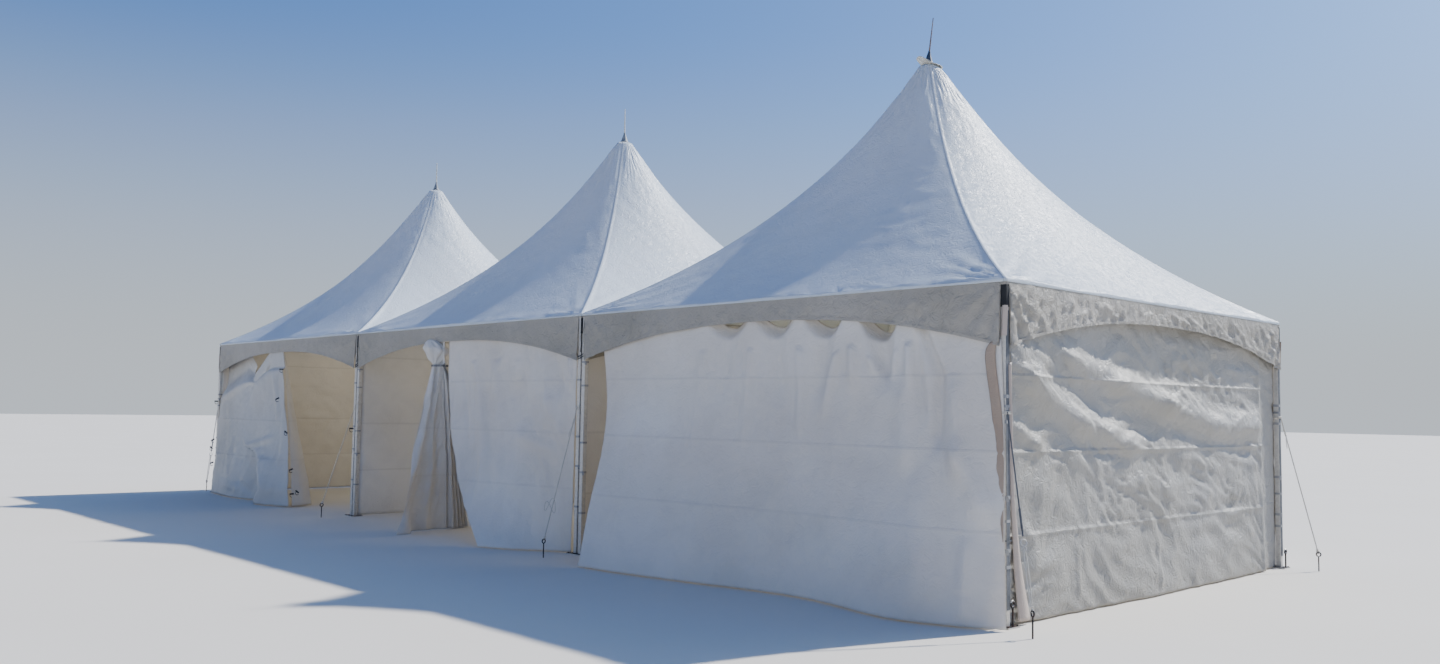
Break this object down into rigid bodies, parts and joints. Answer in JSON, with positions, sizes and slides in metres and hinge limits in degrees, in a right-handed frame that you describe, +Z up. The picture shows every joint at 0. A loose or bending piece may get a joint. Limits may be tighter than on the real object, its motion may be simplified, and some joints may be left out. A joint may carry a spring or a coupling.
{
  "type": "pagoda marquee tent",
  "caption": "Row of joined square pagoda marquee bays with peaked fabric roofs, arched valances, fabric walls, a tied-back curtain, steel legs, masts and guy ropes.",
  "frame": {"origin": "on the ground, at the middle of the middle bay", "axes": "+X along the row towards the closed end bay, -Y the long front with the doorways, +Z up"},
  "size_m": [15.713, 6.1893, 5.5226],
  "materials": {
    "roof_pvc": "white PVC-coated polyester, low gloss, faintly smudged",
    "valance_pvc": "white PVC-coated polyester, greyed and creased",
    "wall_pvc": "off-white PVC-coated polyester with welded seams",
    "inner_wall_pvc": "off-white PVC-coated polyester, warm where light comes through",
    "galvanised_steel": "dull galvanised tube",
    "dark_steel": "dark worn steel",
    "cap_plastic": "off-white moulded cap",
    "guy_rope": "grey braided rope and webbing"
  },
  "bodies": {
    "root": {"back_wall_left": "wall_pvc", "back_wall_middle": "wall_pvc", "back_wall_right": "wall_pvc", "cap_left": "cap_plastic", "cap_middle": "cap_plastic", "cap_right": "cap_plastic", "eave_frame_left": "galvanised_steel", "eave_frame_middle": "galvanised_steel", "eave_frame_right": "galvanised_steel", "end_wall_left": "wall_pvc", "end_wall_right": "wall_pvc", "front_curtain_left": "wall_pvc", "front_curtain_middle": "wall_pvc", "front_curtain_right": "wall_pvc", "front_flap_left": "wall_pvc", "front_tied_curtain_middle": "wall_pvc", "guy_back_left_corner": "guy_rope", "guy_back_left_join": "guy_rope", "guy_back_right_corner": "guy_rope", "guy_back_right_join": "guy_rope", "guy_front_left_corner": "guy_rope", "guy_front_left_join": "guy_rope", "guy_front_right_corner": "guy_rope", "guy_front_right_join": "guy_rope", "leg_left_back_left": "galvanised_steel", "leg_left_back_right": "galvanised_steel", "leg_left_front_left": "galvanised_steel", "leg_left_front_right": "galvanised_steel", "leg_middle_back_left": "galvanised_steel", "leg_middle_back_right": "galvanised_steel", "leg_middle_front_left": "galvanised_steel", "leg_middle_front_right": "galvanised_steel", "leg_right_back_left": "galvanised_steel", "leg_right_back_right": "galvanised_steel", "leg_right_front_left": "galvanised_steel", "leg_right_front_right": "galvanised_steel", "mast_left": "galvanised_steel", "mast_middle": "galvanised_steel", "mast_right": "galvanised_steel", "partition_left": "inner_wall_pvc", "partition_right": "inner_wall_pvc", "roof_left": "roof_pvc", "roof_middle": "roof_pvc", "roof_right": "roof_pvc", "stake_back_left_corner": "dark_steel", "stake_back_left_join": "dark_steel", "stake_back_right_corner": "dark_steel", "stake_back_right_join": "dark_steel", "stake_front_left_corner": "dark_steel", "stake_front_left_join": "dark_steel", "stake_front_right_corner": "dark_steel", "stake_front_right_join": "dark_steel", "stays_left": "galvanised_steel", "stays_middle": "galvanised_steel", "stays_right": "galvanised_steel", "valance_left": "valance_pvc", "valance_middle": "valance_pvc", "valance_right": "valance_pvc"}
  },
  "joints": []
}
